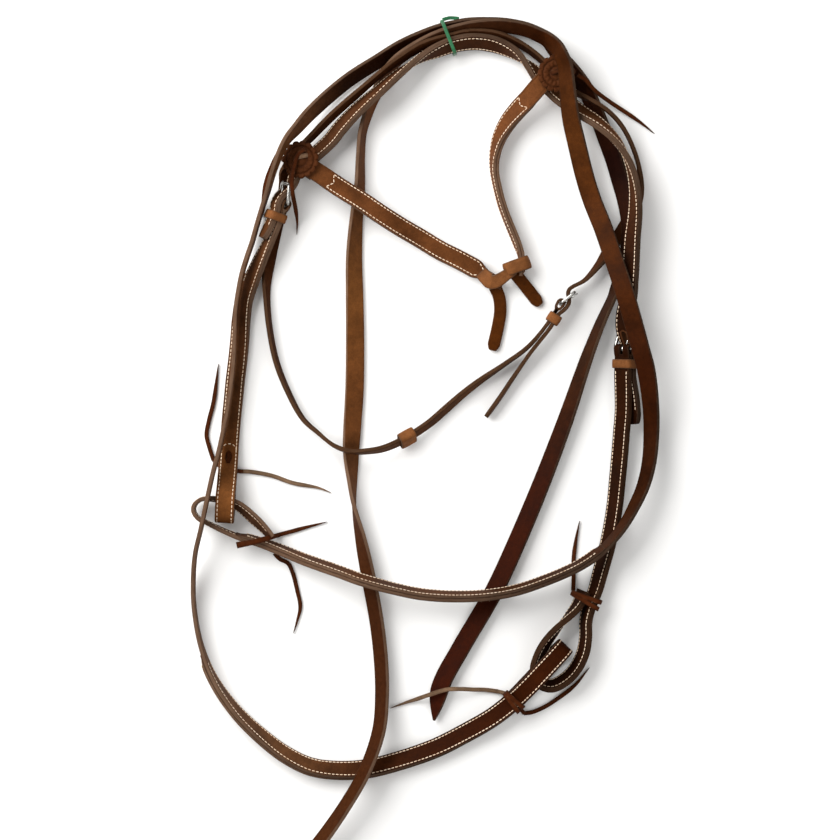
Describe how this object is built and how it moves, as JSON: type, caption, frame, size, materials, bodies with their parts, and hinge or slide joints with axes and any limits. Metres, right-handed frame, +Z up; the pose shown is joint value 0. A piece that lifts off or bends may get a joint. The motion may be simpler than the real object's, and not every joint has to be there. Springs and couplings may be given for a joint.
{
  "type": "bridle headstall with split reins",
  "caption": "Leather browband headstall with a futurity knot, throat latch, rosettes and two split reins, laid out flat; it carries no bit or noseband.",
  "frame": {"origin": "middle of the laid-out part's bounding box, on the bench", "axes": "+Z up from the bench, +Y towards the crown, +X to the right of the layout"},
  "size_m": [0.468, 0.9338, 0.0557],
  "materials": {
    "russet_leather": "smooth oiled grain",
    "lining_leather": "smooth backing leather",
    "rein_leather": "smooth oiled harness leather",
    "lace_leather": "soft latigo",
    "rosette_leather": "tooled",
    "buckle_steel": "polished stainless",
    "green_tie": "paper-covered wire"
  },
  "bodies": {
    "headstall": {"crown_strap": "russet_leather", "cheek_left_strap": "russet_leather", "cheek_right_strap": "russet_leather", "browband_left": "russet_leather", "browband_right": "russet_leather", "cheek_left_keeper": "russet_leather", "cheek_right_keeper": "russet_leather", "throat_keeper": "russet_leather", "knot_loop_left": "russet_leather", "knot_loop_right": "russet_leather", "knot_tail_left": "russet_leather", "knot_tail_right": "russet_leather", "throat_latch": "russet_leather", "crown_strap_lining": "lining_leather", "cheek_left_strap_lining": "lining_leather", "cheek_right_strap_lining": "lining_leather", "browband_left_lining": "lining_leather", "browband_right_lining": "lining_leather", "rein_left_lining": "lining_leather", "rein_right_lining": "lining_leather", "rein_left": "rein_leather", "rein_right": "rein_leather", "rosette_left_lace_front": "lace_leather", "rosette_left_lace_back": "lace_leather", "rosette_right_lace": "lace_leather", "cheek_left_lace_long": "lace_leather", "cheek_left_lace_right": "lace_leather", "rein_left_lace_upper": "lace_leather", "rein_left_lace_lower": "lace_leather", "cheek_right_lace": "lace_leather", "rein_right_lace_left": "lace_leather", "rein_right_lace_right": "lace_leather", "cheek_left_tie": "lace_leather", "rein_left_tie": "lace_leather", "cheek_right_tie": "lace_leather", "rein_right_tie": "lace_leather", "rosette_left": "rosette_leather", "rosette_right": "rosette_leather", "twist_tie": "green_tie", "twist_tie_flap": "green_tie"},
    "sliding_keeper": {"throat_sliding_keeper": "russet_leather"},
    "cheek_left_frame": {"cheek_left_buckle_frame": "buckle_steel"},
    "cheek_left_tongue": {"cheek_left_buckle_tongue": "buckle_steel"},
    "cheek_right_frame": {"cheek_right_buckle_frame": "buckle_steel"},
    "cheek_right_tongue": {"cheek_right_buckle_tongue": "buckle_steel"},
    "throat_frame": {"throat_buckle_frame": "buckle_steel"},
    "throat_tongue": {"throat_buckle_tongue": "buckle_steel"}
  },
  "joints": [
    {"name": "cheek_left_frame_hinge", "type": "hinge", "parent": "headstall", "child": "cheek_left_frame", "pos_m": [-0.14074, 0.27672, 0.01936], "axis": [0.3193, -0.1226, 0.9397], "range_deg": [0, 8]},
    {"name": "cheek_left_tongue_hinge", "type": "hinge", "parent": "cheek_left_frame", "child": "cheek_left_tongue", "pos_m": [-0.14074, 0.27672, 0.01936], "axis": [0.3193, -0.1226, 0.9397], "range_deg": [0, 8]},
    {"name": "cheek_right_frame_hinge", "type": "hinge", "parent": "headstall", "child": "cheek_right_frame", "pos_m": [0.19826, 0.13172, 0.01856], "axis": [-0.7067, 0.0247, -0.7071], "range_deg": [0, 12]},
    {"name": "cheek_right_tongue_hinge", "type": "hinge", "parent": "cheek_right_frame", "child": "cheek_right_tongue", "pos_m": [0.19826, 0.13172, 0.01856], "axis": [-0.7067, 0.0247, -0.7071], "range_deg": [0, 8]},
    {"name": "throat_frame_hinge", "type": "hinge", "parent": "headstall", "child": "throat_frame", "pos_m": [0.13576, 0.17772, 0.01306], "axis": [0, 0, -1], "range_deg": [0, 18]},
    {"name": "throat_tongue_hinge", "type": "hinge", "parent": "throat_frame", "child": "throat_tongue", "pos_m": [0.13576, 0.17772, 0.01306], "axis": [0, 0, -1], "range_deg": [0, 18]},
    {"name": "throat_keeper_slide", "type": "slide", "parent": "headstall", "child": "sliding_keeper", "axis": [-0.8573, -0.4724, 0.2048], "range_m": [-0.005, 0.005]}
  ]
}
